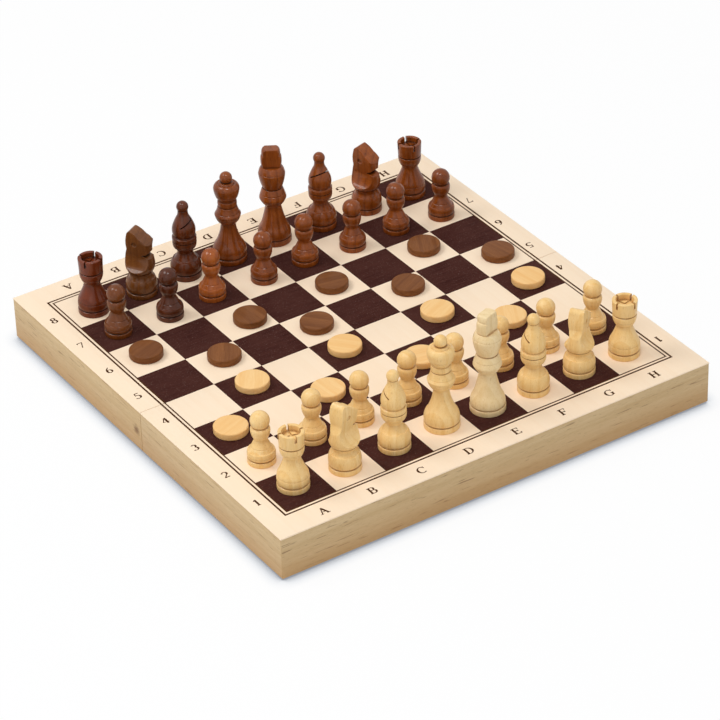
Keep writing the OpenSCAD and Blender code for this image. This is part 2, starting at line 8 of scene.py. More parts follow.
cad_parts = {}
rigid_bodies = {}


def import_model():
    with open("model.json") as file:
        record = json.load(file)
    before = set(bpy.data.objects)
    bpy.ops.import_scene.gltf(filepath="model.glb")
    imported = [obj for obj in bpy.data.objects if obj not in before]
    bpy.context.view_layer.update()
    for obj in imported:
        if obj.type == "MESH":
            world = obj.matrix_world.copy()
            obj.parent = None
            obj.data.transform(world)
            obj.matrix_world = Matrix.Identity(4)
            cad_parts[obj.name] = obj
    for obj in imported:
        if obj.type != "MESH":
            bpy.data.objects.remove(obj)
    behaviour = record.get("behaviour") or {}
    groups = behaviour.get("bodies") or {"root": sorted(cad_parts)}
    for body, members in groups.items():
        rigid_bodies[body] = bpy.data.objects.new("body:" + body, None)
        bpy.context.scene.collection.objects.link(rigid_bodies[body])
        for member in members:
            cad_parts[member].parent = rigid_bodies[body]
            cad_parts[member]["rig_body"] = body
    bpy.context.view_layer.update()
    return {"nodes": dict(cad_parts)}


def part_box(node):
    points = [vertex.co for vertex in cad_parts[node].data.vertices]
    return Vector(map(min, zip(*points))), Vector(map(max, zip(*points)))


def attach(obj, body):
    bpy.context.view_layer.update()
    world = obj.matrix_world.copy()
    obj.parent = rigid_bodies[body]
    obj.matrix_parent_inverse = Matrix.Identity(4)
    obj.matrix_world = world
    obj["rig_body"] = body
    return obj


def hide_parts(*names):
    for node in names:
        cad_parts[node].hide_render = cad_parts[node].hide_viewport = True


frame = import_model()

# The folding games case lies open with its men on it. Lengths below are in
# millimetres unless they say otherwise, and MM turns them into metres.
MM = 0.001

# ---- the camera of the photograph -------------------------------------------

CAMERA_AT = (-1174.0, -1848.1, 1470.8)
CAMERA_AZIMUTH = math.radians(32.506)
CAMERA_ELEVATION = math.radians(33.749)
CAMERA_ROLL = math.radians(-1.905)
CAMERA_LENS = 180.65
CAMERA_SENSOR = 36.0
CAMERA_CLIP_END_M = 20

# ---- floor, world and lamps, in metres and watts ------------------------------

FLOOR_HALF_M = 6.0
FLOOR_DROP_M = 0.0002
FLOOR_COLOUR = (0.9, 0.91, 0.93, 1)
# What the camera sees of the floor is mostly a glow, darkened close to the object by a painted shadow.
FLOOR_GLOW_SHARE = 0.93
FLOOR_SHADE_REACH_M = 0.012
FLOOR_SHADE = [(0.4, (0.3, 0.32, 0.36, 1)), (0.75, (0.84, 0.86, 0.89, 1)), (0.97, 1.0)]
WORLD_COLOUR = (1, 1, 1, 1)
WORLD_LIGHT = 0.52
WORLD_SEEN = 1.0
LAMP_AIM = (0, 0, 0.03)
# (name, place, width and height, watts)
LAMPS = [("key", (-1.0, 0.7, 1.8), (0.9, 0.8), 15),
         ("softbox", (-0.33, -0.52, 1.9), (0.55, 0.45), 9),
         ("fill", (-1.6, -1.2, 1.2), (1.2, 1.2), 3)]

# ---- the playing field -------------------------------------------------------

SQUARE = 40.0
# what the saw took out of the field when the case was cut in two
SAW_KERF = 2.0
FIELD = 4 * SQUARE
FIELD_END = FIELD - SAW_KERF / 2
OUTER_LINE_GAP = 2.7
OUTER_LINE_W = 1.45
INNER_LINE_W = 1.15
GLYPH_H = 7.0
GLYPH_STRETCH = 1.15
LEFT_GLYPH_X = -171.7
RIGHT_GLYPH_X = 170.0
# the row of letters of each half, at its file a and at its file h
GLYPH_Y = {"near": (-173.0, -173.0), "far": (173.0, 170.3)}
PRINT_T = 0.02
# each stroke of a character is this share higher than the last, so that none coincide
PRINT_STEP = 0.1
FACE_EASE = 0.45
SEAM_EASE = 0.15
# how far out and down each step of the face's eased edge lies
FACE_EDGE = ((0.25, 0.08), (FACE_EASE, 0.4), (FACE_EASE, 0.8))
# a point this close to the seam or the border is on it
CLOSE = 1.0
CORE_INSET = 5.0
CORE_T = 3.2

# which way along Y each half of the case lies
HALVES = {"far": 1, "near": -1}
FILES = "abcdefgh"
BACK = ["rook", "knight", "bishop", "queen", "king", "bishop", "knight", "rook"]
# Each side: the ranks of its back row, its pawns and its draughts, of which every
# second one stands a step further on, and how far each man of the back row is turned.
SIDES = {"dark": (8, 7, 6, -1, [35, -60, -32, 0, -32, -80, -73, -10]),
         "light": (1, 2, 3, 1, [-12, 18, 108, 0, 18, 108, 34, 14])}
PAWN_TURN_STEP = 57
DRAUGHT_TURN_STEP = 37
DRAUGHT_TURN_START = 20

far_low, far_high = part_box("far_panel")
TOP = far_high.z / MM
HALF_W = far_high.x / MM
HALF_D = far_high.y / MM
SEAM = far_low.y / MM


# ---- node materials ----------------------------------------------------------

def rgb(r, g, b):
    """A colour given as the eye sees it, 0 to 255, as a linear one."""
    def lin(c):
        c = c / 255
        return c / 12.92 if c <= 0.04045 else ((c + 0.055) / 1.055) ** 2.4
    return (lin(r), lin(g), lin(b), 1.0)


class Nodes:
    """Short calls for building one node tree."""

    def __init__(self, name):
        self.mat = bpy.data.materials.new(name)
        self.mat.use_nodes = True
        self.tree = self.mat.node_tree
        self.shader = self.tree.nodes["Principled BSDF"]

    def put(self, target, value):
        if isinstance(value, bpy.types.NodeSocket):
            self.tree.links.new(value, target)
        elif value is not None:
            target.default_value = value

    def add(self, kind, inputs=None, **settings):
        n = self.tree.nodes.new(kind)
        for k, v in settings.items():
            setattr(n, k, v)
        for k, v in (inputs or {}).items():
            self.put(n.inputs[k], v)
        return n

    def coords(self, shift=(0, 0, 0), turn=(0, 0, 0), scale=(1, 1, 1)):
        """Object coordinates in millimetres, turned and shifted, and then scaled."""
        tc = self.add("ShaderNodeTexCoord")
        mm = self.add("ShaderNodeMapping", {"Vector": tc.outputs["Object"], "Location": shift,
                                            "Rotation": turn, "Scale": (1000, 1000, 1000)})
        return self.add("ShaderNodeMapping", {"Vector": mm.outputs[0], "Scale": scale}).outputs[0]

    def noise(self, vector, scale, detail=3.0, rough=0.55):
        n = self.add("ShaderNodeTexNoise", {"Vector": vector, "Scale": scale, "Detail": detail,
                                            "Roughness": rough})
        return n.outputs["Fac"]

    def ramp(self, value, stops, smooth=False):
        n = self.add("ShaderNodeValToRGB", {"Fac": value})
        n.color_ramp.interpolation = "EASE" if smooth else "LINEAR"
        while len(n.color_ramp.elements) < len(stops):
            n.color_ramp.elements.new(0.5)
        for e, (at, col) in zip(n.color_ramp.elements, stops):
            e.position = at
            e.color = col if hasattr(col, "__len__") else (col, col, col, 1)
        return n.outputs["Color"]

    def mix(self, fac, a, b):
        """Two colours mixed. The node's colour sockets are 6 and 7 going in, and 2 coming out."""
        n = self.add("ShaderNodeMix", data_type="RGBA")
        self.put(n.inputs[0], fac)
        self.put(n.inputs[6], a)
        self.put(n.inputs[7], b)
        return n.outputs[2]

    def math(self, op, a, b):
        return self.add("ShaderNodeMath", {0: a, 1: b}, operation=op).outputs[0]

    def bump(self, height, distance_mm, strength, under=None):
        n = self.add("ShaderNodeBump", {"Height": height, "Distance": distance_mm * MM,
                                        "Strength": strength, "Normal": under})
        return n.outputs["Normal"]

    def finish(self, **sockets):
        for k, v in sockets.items():
            self.put(self.shader.inputs[k.replace("_", " ")], v)
        return self.mat


GRAIN_TURN = {"Z": (0, 0, 0), "X": (0, math.pi / 2, 0), "Y": (math.pi / 2, 0, 0)}
RING_SCALE = 0.055
MIDDLE_TONE = (0.4, 0.4, 0.4, 1)
BROAD_SHARE = 0.25
LOW_SHADE_SHARE = 0.55
# how far the painted shade of grooves and hollows looks for nearby surfaces
RECESS_SHADE_REACH = 2.6
COAT_ROUGHNESS = 0.12
PRINT_SPECK = rgb(150, 125, 115)


def wood(name, pale, deep, seed, grain, figure=1.0, rings=1.0, flecks=0.5, rough=0.45, coat=0.0,
         speck=None, turning=0.0, mottled=0.0, recess_stain_and_shade=None, low=None, specular=0.4, streak=None,
         knot=None):
    """Wood with growth rings, long fibres and short pores. grain is the axis that the fibres
    follow, and seed shifts the figure, so that no two pieces are alike."""
    m = Nodes(name)
    turn = GRAIN_TURN[grain]
    shift = (17.3 * seed + 31, 9.1 * seed - 23, 13.7 * seed)
    base = m.coords(shift, turn)
    # growth rings: cylinders about a pith that lies off to one side, wavering along the grain
    waver = m.noise(m.coords(shift, turn, (0.02, 0.02, 0.008)), 1.0, 2.0)
    pith = m.add("ShaderNodeVectorMath", {0: base, 1: (1.0, 1.0, 0.06)}, operation="MULTIPLY").outputs[0]
    wave = m.add("ShaderNodeTexWave", {"Vector": pith, "Scale": RING_SCALE * rings, "Distortion": 3.2,
                                       "Detail": 2.5, "Detail Scale": 0.12, "Detail Roughness": 0.55},
                 wave_type="RINGS", rings_direction="Z", wave_profile="SAW")
    ring = m.ramp(wave.outputs["Fac"], [(0.0, 0.15), (0.55, 0.45), (0.9, 1.0), (1.0, 0.2)])
    # fibres: noise drawn out along the grain, fine and coarse
    fine = m.noise(m.coords(shift, turn, (2.6, 2.6, 0.09)), 1.0, 4.0, 0.65)
    coarse = m.noise(m.coords(shift, turn, (0.35, 0.35, 0.018)), 1.0, 3.0, 0.55)
    fac = m.mix(0.5, ring, m.ramp(coarse, [(0.3, 0.0), (0.72, 1.0)]))
    fac = m.mix(0.35, fac, m.ramp(fine, [(0.32, 0.0), (0.68, 1.0)]))
    fac = m.mix(figure, MIDDLE_TONE, fac) if figure < 1 else fac
    colour = m.mix(fac, pale, deep)
    broad = m.ramp(waver, [(0.3, 0.0), (0.7, 1.0)], True)
    colour = m.mix(m.math("MULTIPLY", broad, BROAD_SHARE + mottled), colour, deep)
    # pores: short dark dashes along the grain
    dash = m.noise(m.coords(shift, turn, (1.9, 1.9, 0.22)), 1.0, 1.5, 0.5)
    dashes = m.ramp(dash, [(0.62, 0.0), (0.72, 1.0)])
    colour = m.mix(m.math("MULTIPLY", dashes, flecks), colour, speck or deep)
    if streak:
        # sparse dark streaks, a centimetre or so long
        run = m.noise(m.coords(shift, turn, (0.8, 0.8, 0.055)), 1.0, 2.0, 0.5)
        colour = m.mix(m.ramp(run, [(0.63, 0.0), (0.72, 0.75)]), colour, streak)
    if knot:
        # a small knot at a given place
        at, radius, tone = knot
        away = m.add("ShaderNodeVectorMath", {0: m.coords(), 1: at}, operation="DISTANCE")
        wobble = m.noise(m.coords(shift, turn, (0.5, 0.5, 0.2)), 1.0, 2.0)
        reach = m.math("DIVIDE", away.outputs["Value"], m.math("MULTIPLY", wobble, 2 * radius))
        colour = m.mix(m.ramp(reach, [(0.25, 0.9), (0.6, 0.5), (1.0, 0.0)]), colour, tone)
    if low:
        # painted shade: a wall is warmer and darker towards its bottom, where the floor's shadow falls
        # on it
        tint, z0, z1 = low
        z = m.add("ShaderNodeSeparateXYZ", {"Vector": m.coords()}).outputs["Z"]
        part = m.add("ShaderNodeMapRange", {"Value": z, "From Min": z0, "From Max": z1,
                                            "To Min": LOW_SHADE_SHARE, "To Max": 0.0})
        colour = m.mix(part.outputs["Result"], colour, tint)
    if recess_stain_and_shade:
        # painted shade: grooves and hollows, found by ambient occlusion, are darkened towards the recess
        # colour, which also stands for dark stain held there
        recess_shade_node = m.add("ShaderNodeAmbientOcclusion", {"Distance": RECESS_SHADE_REACH * MM}, samples=6,
                     only_local=True)
        colour = m.mix(m.ramp(recess_shade_node.outputs["AO"], [(0.42, 0.9), (0.86, 0.0)]), colour, recess_stain_and_shade)
    height = m.mix(0.5, fine, m.ramp(dash, [(0.55, 1.0), (0.75, 0.0)]))
    normal = m.bump(height, 0.05, 0.5)
    if turning:
        # faint rings that the lathe tool left around the piece
        ridge = m.noise(m.coords(shift, (0, 0, 0), (0.02, 0.02, 2.2)), 1.0, 2.0)
        normal = m.bump(ridge, 0.06, turning, normal)
    roughness = m.ramp(fine, [(0.3, rough - 0.06), (0.7, rough + 0.08)])
    return m.finish(Base_Color=colour, Roughness=roughness, Normal=normal,
                    Coat_Weight=coat, Coat_Roughness=COAT_ROUGHNESS, Specular_IOR_Level=specular)


def printed(name, colour, light, seed):
    """Ink on veneer: nearly flat, with the grain and a few pale specks showing through."""
    m = Nodes(name)
    shift = (11 * seed, 7 * seed, 0)
    grain = m.noise(m.coords(shift, (0, 0, 0), (0.06, 1.1, 1)), 1.0, 4.0, 0.7)
    cloud = m.noise(m.coords(shift, (0, 0, 0), (0.05, 0.05, 1)), 1.0, 3.0)
    colour = m.mix(m.ramp(grain, [(0.35, 0.0), (0.8, 0.75)]), colour, light)
    colour = m.mix(m.ramp(cloud, [(0.35, 0.0), (0.75, 0.45)]), colour, light)
    spot = m.noise(m.coords(shift, (0, 0, 0), (1.5, 2.4, 1)), 1.0, 0.0)
    colour = m.mix(m.ramp(spot, [(0.74, 0.0), (0.8, 0.4)]), colour, PRINT_SPECK)
    return m.finish(Base_Color=colour, Roughness=m.ramp(grain, [(0.3, 0.55), (0.7, 0.7)]),
                    Normal=m.bump(grain, 0.03, 0.4), Specular_IOR_Level=0.02)


def metal(name, colour, rough):
    """Drawn metal with fine scratches along X and dull stains."""
    m = Nodes(name)
    scratch = m.noise(m.coords((0, 0, 0), (0, 0, 0), (0.3, 9, 9)), 1.0, 3.0, 0.7)
    stain = m.noise(m.coords((5, 2, 1), (0, 0, 0), (0.25, 0.25, 0.25)), 1.0, 3.0)
    dull = tuple(c * 0.55 for c in colour[:3]) + (1,)
    tint = m.mix(m.ramp(stain, [(0.45, 0.0), (0.75, 0.7)]), colour, dull)
    return m.finish(Base_Color=tint, Metallic=1.0, Normal=m.bump(scratch, 0.02, 0.5),
                    Roughness=m.ramp(scratch, [(0.3, rough - 0.08), (0.7, rough + 0.12)]))


# ---- mesh helpers --------------------------------------------------------------

SHADE_BREAK = 40
DRESSED_SHADE_BREAK = 25
WELD_M = 1e-6
FLAT_WITHIN = 0.5
BEVEL_FROM = 32
BEVEL_SEGMENTS = 2
BEVEL_PROFILE = 0.6
SMOOTH_FACTOR = 0.5


def linked(name, data):
    """A new object in the scene."""
    obj = bpy.data.objects.new(name, data)
    bpy.context.scene.collection.objects.link(obj)
    return obj


def new_object(name, mesh, body, mat=None):
    """A piece that rides on a body and takes its material's slot."""
    obj = linked(name, mesh)
    if mat:
        mesh.materials.clear()
        mesh.materials.append(mat)
    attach(obj, body)
    return obj


def crease(bm, degrees):
    """Smooth shading, broken at edges that turn by more than degrees."""
    limit = math.radians(degrees)
    for f in bm.faces:
        f.smooth = True
    for e in bm.edges:
        e.smooth = len(e.link_faces) == 2 and e.calc_face_angle(0) < limit


def plain_mesh(bm, name):
    """The mesh that bm holds. bm is used up."""
    mesh = bpy.data.meshes.new(name)
    bm.to_mesh(mesh)
    bm.free()
    return mesh


def mesh_of(bm, name, degrees=SHADE_BREAK):
    """The mesh that bm holds, facing outwards and shaded smooth but for its hard edges."""
    bmesh.ops.recalc_face_normals(bm, faces=bm.faces)
    crease(bm, degrees)
    return plain_mesh(bm, name)


def joined(meshes):
    bm = bmesh.new()
    for m in meshes:
        bm.from_mesh(m)
    return mesh_of(bm, "joined")


def dressed(node, width, mat):
    """A CAD node's own shape with its hard edges eased by width."""
    source = frame["nodes"][node]
    bm = bmesh.new()
    bm.from_mesh(source.data)
    bmesh.ops.remove_doubles(bm, verts=bm.verts, dist=WELD_M)
    bmesh.ops.dissolve_limit(bm, angle_limit=math.radians(FLAT_WITHIN), verts=bm.verts, edges=bm.edges)
    hard = math.radians(BEVEL_FROM)
    sharp = [e for e in bm.edges if len(e.link_faces) == 2 and e.calc_face_angle(0) > hard]
    bmesh.ops.bevel(bm, geom=sharp, offset=width * MM, segments=BEVEL_SEGMENTS,
                    profile=BEVEL_PROFILE, affect="EDGES", clamp_overlap=True)
    name = node + "_dressed"
    obj = new_object(name, mesh_of(bm, name, DRESSED_SHADE_BREAK), source["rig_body"], mat)
    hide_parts(node)


def apply_modifiers(obj):
    """The object's mesh with its modifiers worked in, as a new mesh."""
    bpy.context.view_layer.update()
    done = obj.evaluated_get(bpy.context.evaluated_depsgraph_get())
    mesh = bpy.data.meshes.new_from_object(done)
    bpy.data.objects.remove(obj)
    return mesh


def cut(mesh, tool, operation="DIFFERENCE"):
    """mesh minus tool, or their intersection or union, worked out exactly."""
    a = linked("work_a", mesh)
    b = linked("work_b", tool)
    mod = a.modifiers.new("cut", "BOOLEAN")
    mod.operation = operation
    mod.solver = "EXACT"
    mod.object = b
    result = apply_modifiers(a)
    bpy.data.objects.remove(b)
    return result


def rounded(mesh, voxel, smooth_steps):
    """mesh with all its edges worn round, by remeshing finely and smoothing."""
    obj = linked("work_r", mesh)
    mod = obj.modifiers.new("remesh", "REMESH")
    mod.mode = "VOXEL"
    mod.voxel_size = voxel * MM
    mod.use_smooth_shade = True
    mod = obj.modifiers.new("smooth", "SMOOTH")
    mod.iterations = smooth_steps
    mod.factor = SMOOTH_FACTOR
    return apply_modifiers(obj)


def box_mesh(low, high, matrix=None):
    """A box between two corners in millimetres, then placed by matrix."""
    bm = bmesh.new()
    bmesh.ops.create_cube(bm, size=1.0)
    size = [h - l for l, h in zip(low, high)]
    mid = [(h + l) / 2 for l, h in zip(low, high)]
    bmesh.ops.scale(bm, vec=[s * MM for s in size], verts=bm.verts)
    bmesh.ops.translate(bm, vec=[c * MM for c in mid], verts=bm.verts)
    if matrix is not None:
        bmesh.ops.transform(bm, matrix=matrix, verts=bm.verts)
    return plain_mesh(bm, "box")


def prism_mesh(points, low, high):
    """An outline in X and Z, drawn out along Y from low to high."""
    bm = bmesh.new()
    front = [bm.verts.new((x * MM, low * MM, z * MM)) for x, z in points]
    back = [bm.verts.new((x * MM, high * MM, z * MM)) for x, z in points]
    bm.faces.new(front)
    bm.faces.new(back[::-1])
    for i in range(len(points)):
        j = (i + 1) % len(points)
        bm.faces.new((front[j], front[i], back[i], back[j]))
    bmesh.ops.recalc_face_normals(bm, faces=bm.faces)
    return plain_mesh(bm, "prism")


# ---- turned outlines -----------------------------------------------------------

LATHE_STEPS = 96
FLANK_STEP = 0.3
FOOT_BEVEL = 0.5
FOOT_GROOVE = 1.2
FOOT_GROOVE_H = 1.1
FOOT_SWELL = 0.12
RING_GROOVE = 1.1
RING_GROOVE_H = 0.6
BASE_LEDGE = 0.9
BOW_STEPS = 9
BALL_STEPS = 22
SCRIBE_DEPTH = 0.32
SCRIBE_HALF = 0.34
CORNER_R = 0.22
CORNER_FROM = 28
# the most that a corner's arc takes of the edge on either side of it
CORNER_SHARE = 0.45
TINY = 1e-6
ON_AXIS = 0.01
POLE = 1e-4


def bow(p, q, swell):
    """Points from p to q along a shallow curve that swells to the right of the way."""
    d = Vector((q[0] - p[0], q[1] - p[1]))
    mid = (Vector(p) + Vector(q)) / 2 + 2 * swell * Vector((d.y, -d.x)) / d.length
    out = []
    for i in range(1, BOW_STEPS + 1):
        t = i / BOW_STEPS
        w = (1 - t) ** 2, 2 * t * (1 - t), t * t
        out.append((w[0] * p[0] + w[1] * mid.x + w[2] * q[0],
                    w[0] * p[1] + w[1] * mid.y + w[2] * q[1]))
    return out


def way(p, q, swell):
    """Points from p to q, straight or along a bow."""
    return bow(p, q, swell) if swell else [q]


def turned(start_r, legs):
    """A turned outline: each leg is (radius at its end, height that it climbs, swell)."""
    points = [(0.0, 0.0), (start_r, 0.0)]
    for r, rise, swell in legs:
        p = points[-1]
        points += way(p, (r, p[1] + rise), swell)
    return points


def foot(r, h, base_h, base_top_r, base_swell):
    """Foot with its groove, and the rounded base above it."""
    half = FOOT_GROOVE_H / 2
    return [(r, FOOT_BEVEL, FOOT_SWELL), (r, h - FOOT_BEVEL, 0), (r - FOOT_GROOVE, half, 0),
            (r - FOOT_GROOVE, half, 0), (r - FLANK_STEP, FLANK_STEP, 0),
            (base_top_r, base_h, base_swell)]


def ball_on(points, r, rise):
    """The outline with a ball on top, its centre rise above the last point."""
    zc = points[-1][1] + rise
    seat = -math.asin(min(1.0, rise / r))
    arc = [seat + (math.pi / 2 - seat) * i / BALL_STEPS for i in range(BALL_STEPS + 1)]
    return points + [(r * math.cos(a), zc + r * math.sin(a)) for a in arc[:-1]] + [(0.0, zc + r)]


def radius_at(p, q, level):
    """The radius at which the line from p to q passes a height."""
    (r0, z0), (r1, z1) = p, q
    return r0 + (r1 - r0) * (level - z0) / (z1 - z0)


def scribed(points, *heights):
    """The outline with a fine V turned into its outside at each height."""
    for z in heights:
        below, above = z - SCRIBE_HALF, z + SCRIBE_HALF
        edges = list(enumerate(zip(points, points[1:])))
        i, low = next((k, radius_at(p, q, below)) for k, (p, q) in edges if p[1] <= below < q[1])
        j, high = next((k, radius_at(p, q, above)) for k, (p, q) in edges if p[1] < above <= q[1])
        groove = [(low, below), ((low + high) / 2 - SCRIBE_DEPTH, z), (high, above)]
        points = points[:i + 1] + groove + points[j + 1:]
    return points


def soften(points):
    """Sharp corners of an outline, worn round by a small arc."""
    out = [points[0]]
    for a, p, b in zip(points, points[1:], points[2:]):
        u = Vector(p) - Vector(a)
        v = Vector(b) - Vector(p)
        short = u.length < TINY or v.length < TINY
        if short or p[0] < ON_AXIS or u.angle(v) < math.radians(CORNER_FROM):
            out.append(p)
            continue
        t = min(CORNER_R, CORNER_SHARE * u.length, CORNER_SHARE * v.length)
        s = Vector(p) - u.normalized() * t
        e = Vector(p) + v.normalized() * t
        for k in (0.0, 0.33, 0.67, 1.0):
            q = s * (1 - k) ** 2 + 2 * k * (1 - k) * Vector(p) + e * k * k
            out.append((q.x, q.y))
    return out + [points[-1]]


def lathe(points, name):
    """The solid that an outline of (radius, height) pairs sweeps about Z."""
    bm = bmesh.new()
    angles = [2 * math.pi * k / LATHE_STEPS for k in range(LATHE_STEPS)]
    rings = []
    for r, z in points:
        if r < POLE:
            rings.append([bm.verts.new((0, 0, z * MM))])
        else:
            rings.append([bm.verts.new((r * MM * math.cos(a), r * MM * math.sin(a), z * MM))
                          for a in angles])
    for a, b in zip(rings, rings[1:]):
        for k in range(LATHE_STEPS):
            j = (k + 1) % LATHE_STEPS
            corners = (a[k % len(a)], a[j % len(a)], b[j % len(b)], b[k % len(b)])
            face = list(dict.fromkeys(corners))
            if len(face) > 2:
                bm.faces.new(face)
    return mesh_of(bm, name)


# ---- the men -------------------------------------------------------------------

def pawn_mesh():
    r, neck, collar, ball = 10.1, 4.8, 7.0, 6.95
    foot_h, base_h, flank_h, neck_h = 3.6, 5.3, 8.0, 1.0
    flare_h, shoulder_h, ball_rise = 6.84, 2.66, 4.5
    base_top, shoulder = r - 2 * FLANK_STEP, collar - 2 * FLANK_STEP
    legs = foot(r, foot_h, base_h, base_top, 0.45) + [
        (base_top - BASE_LEDGE, 0, 0), (neck, flank_h, -0.1), (neck, neck_h, 0),
        (collar, flare_h, 0.5), (shoulder, shoulder_h, 0.25),
        (shoulder - RING_GROOVE, RING_GROOVE_H, 0)]
    points = scribed(turned(r - FOOT_BEVEL, legs), 6.9, 13.2)
    return lathe(soften(ball_on(points, ball, ball_rise)), "pawn")


def rook_mesh():
    r, waist, collar, crown, well = 11.5, 6.1, 8.8, 9.2, 6.5
    foot_h, base_h, bulge_h, flank_h, waist_h = 3.9, 5.0, 4.05, 9.45, 2.5
    flare_h, collar_h, crown_h = 6.7, 1.0, 10.5
    lip, well_depth, well_rise, slot_w, slot_depth = 0.4, 4.6, 0.5, 1.8, 4.8
    legs = foot(r, foot_h, base_h, r - FLANK_STEP, 0.3) + [
        (r - 5 * FLANK_STEP, bulge_h, 0.25), (waist, flank_h, -0.25), (waist, waist_h, 0),
        (waist + 2 * FLANK_STEP, 0, 0), (collar, flare_h, 0.5), (collar, collar_h, 0),
        (collar - RING_GROOVE, RING_GROOVE_H, 0), (collar, RING_GROOVE_H, 0), (crown, crown_h, 0),
        (crown - FLANK_STEP, FLANK_STEP, 0), (well + FLANK_STEP, 0, 0), (well, -lip, 0),
        (well, lip - well_depth, 0)]
    points = scribed(turned(r - FOOT_BEVEL, legs), 10.4, 29.4)
    floor = points[-1][1]
    points += bow((well, floor), (0.0, floor + well_rise), 0.2)
    mesh = lathe(soften(points), "rook")
    top = floor + well_depth
    for a in (0, 90):
        tool = box_mesh((-r, -slot_w / 2, top - slot_depth), (r, slot_w / 2, top + 1),
                        Matrix.Rotation(math.radians(a), 4, "Z"))
        mesh = cut(mesh, tool)
    return mesh


def bishop_mesh():
    r, stem, ring, mitre, tip, ball = 11.6, 5.9, 9.05, 8.8, 3.8, 4.5
    foot_h, base_h, flank_h, stem_h, swell_h = 4.1, 9.8, 4.9, 2.0, 8.2
    ring_h, mitre_h, ball_rise = 3.2, 21.3, 2.9
    cut_w, cut_tilt, cut_z, cut_past = 0.9, 30.0, 9.5, 2.0
    base_top = r - 7 * FLANK_STEP
    legs = foot(r, foot_h, base_h, base_top, 1.1) + [
        (base_top - BASE_LEDGE, 0, 0), (stem, flank_h, -0.3), (stem, stem_h, 0),
        (ring - 3 * FLANK_STEP, swell_h * 0.36, -0.25), (ring, swell_h * 0.44, 0.25),
        (ring, swell_h * 0.2, 0.05), (ring - RING_GROOVE, FLANK_STEP, 0), (ring, FLANK_STEP, 0),
        (ring, ring_h, 0.1), (ring - RING_GROOVE - FLANK_STEP, 2 * FLANK_STEP, 0),
        (mitre, mitre_h * 0.22, 0.3), (mitre - 4 * FLANK_STEP, mitre_h * 0.26, 0.3),
        (tip + 2 * FLANK_STEP, mitre_h * 0.32, 0.15), (tip, mitre_h * 0.2, -0.2)]
    points = scribed(turned(r - FOOT_BEVEL, legs), 20.6, 27.6)
    ring_top = points[-1][1] - mitre_h - 2 * FLANK_STEP
    mesh = lathe(soften(ball_on(points, ball, ball_rise)), "bishop")
    place = Matrix.Translation((-cut_past * MM, 0, (ring_top + cut_z) * MM)) \
        @ Matrix.Rotation(math.radians(-cut_tilt), 4, "Y")
    return cut(mesh, box_mesh((0, -r, 0), (mitre_h + r, r, cut_w), place))


def queen_mesh():
    r, neck, bell, throat, crown, ledge, ball = 12.9, 5.5, 9.8, 7.0, 9.7, 6.0, 4.75
    foot_h, base_h, flank_h, bell_h, band_h = 4.1, 9.8, 16.0, 7.3, 1.0
    taper_h, bead_h, crown_h, ball_rise = 6.2, 4.4, 13.6, 3.3
    legs = foot(r, foot_h, base_h, r - 9.5 * FLANK_STEP, 1.1) + [
        (neck, flank_h, -0.8), (bell, bell_h, 0.8), (bell, band_h, 0.1),
        (bell - FLANK_STEP, FLANK_STEP, 0), (throat + FLANK_STEP, taper_h, -0.25),
        (throat - 2 * FLANK_STEP, FLANK_STEP, 0), (throat, FLANK_STEP, 0), (throat, bead_h, 0.3),
        (throat - 2 * FLANK_STEP, FLANK_STEP, 0), (throat + FLANK_STEP, crown_h * 0.15, -0.1),
        (throat + 4 * FLANK_STEP, 3 * FLANK_STEP, 0), (crown, crown_h * 0.42, 0.2),
        (crown, crown_h * 0.15, 0.1), (ledge + 4 * FLANK_STEP, crown_h * 0.24, 0.5),
        (ledge, -FLANK_STEP, 0), (ledge - 2 * FLANK_STEP, 4 * FLANK_STEP, 0),
        (ball - 2 * FLANK_STEP, FLANK_STEP, 0)]
    points = scribed(turned(r - FOOT_BEVEL, legs), 35.8, 41.2, 55.8)
    return lathe(soften(ball_on(points, ball, ball_rise)), "queen")


def king_mesh():
    r, neck, bell, throat, crown, shoulder = 12.9, 6.0, 10.2, 7.2, 10.1, 7.6
    foot_h, base_h, flank_h, neck_h, bell_h, band_h = 4.1, 8.8, 16.0, 1.0, 6.0, 1.0
    taper_h, crown_h, finial_h, finial_r, finial_t = 7.6, 17.5, 15.0, 8.0, 8.4
    legs = foot(r, foot_h, base_h, r - 9.5 * FLANK_STEP, 0.8) + [
        (neck, flank_h, -0.3), (neck + FLANK_STEP, neck_h, 0), (bell, bell_h, 0.35),
        (bell, band_h, 0.05), (throat + 2 * FLANK_STEP, taper_h, 0.1),
        (throat - FLANK_STEP, FLANK_STEP, 0), (throat + FLANK_STEP, 2 * FLANK_STEP, 0),
        (crown, crown_h * 0.6, 0.35), (crown - FLANK_STEP, crown_h * 0.15, 0.15),
        (shoulder, crown_h * 0.25, 0.35)]
    points = scribed(turned(r - FOOT_BEVEL, legs), 35.6, 41.4, 59.5)
    top = points[-1][1]
    body = lathe(soften(points + [(0.0, top)]), "king")
    waist = shoulder - FLANK_STEP
    # the finial's outline: out to a and b, in at the notch, out over the lobe and in at the brow
    a, b = (finial_r, top + 0.37 * finial_h), (finial_r - FLANK_STEP, top + 0.6 * finial_h)
    notch = (finial_r - 4 * FLANK_STEP, top + 0.66 * finial_h)
    lobe = (finial_r - 3 * FLANK_STEP, top + 0.8 * finial_h)
    brow = (finial_r - 5 * FLANK_STEP, top + finial_h - 0.5)
    knob = [(0.0, top - 1), (waist, top - 1), (waist, top)] + bow((waist, top), a, 0.2)
    knob += bow(a, b, 0.1) + [notch] + bow(notch, lobe, 0.2) + bow(lobe, brow, 0.15)
    knob += [(finial_r - 7 * FLANK_STEP, top + finial_h), (0.0, top + finial_h)]
    blade = box_mesh((-r, -finial_t / 2, top - 1), (r, finial_t / 2, top + finial_h + 1))
    return joined([body, rounded(cut(lathe(knob, "knob"), blade, "INTERSECT"), 0.25, 3)])


